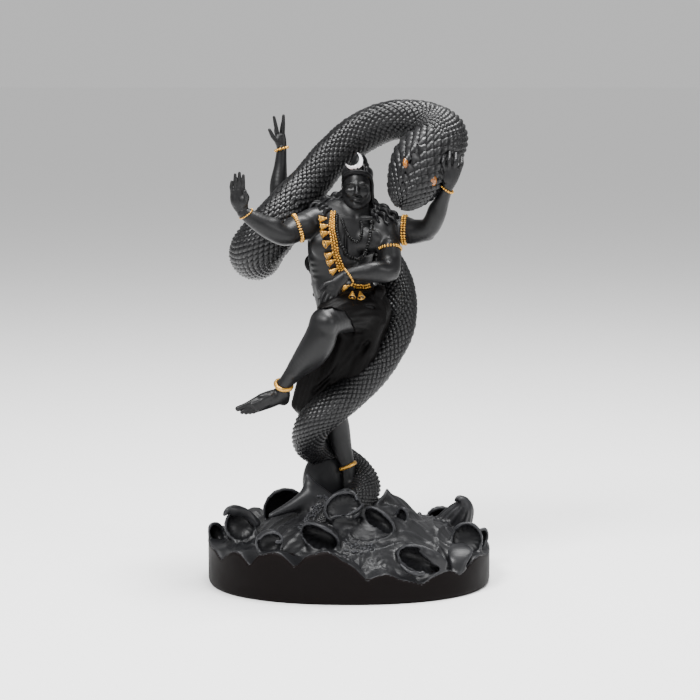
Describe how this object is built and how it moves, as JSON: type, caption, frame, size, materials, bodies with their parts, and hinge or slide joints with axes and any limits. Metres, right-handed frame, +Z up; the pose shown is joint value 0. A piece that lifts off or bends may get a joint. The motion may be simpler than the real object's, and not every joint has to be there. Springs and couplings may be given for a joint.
{
  "type": "dancing figure statuette",
  "caption": "Cast resin statuette of a four-armed figure dancing on one leg, wound by a great serpent, on an oval plinth of breaking water.",
  "frame": {"origin": "middle of the plinth's underside", "axes": "+Z up from the plinth to the serpent's arch, the figure facing -Y, its right hand towards -X"},
  "size_m": [0.158, 0.128, 0.2655],
  "materials": {
    "black_resin": "satin black cast resin",
    "gold": "gold paint on resin: beads, bells, armlets, bracelets and anklets",
    "silver": "silver paint on resin: the crescent in the hair",
    "amber": "glossy amber paint on resin: the serpent's eyes"
  },
  "bodies": {
    "root": {"dancing_figure_statue": "black_resin"}
  },
  "joints": []
}
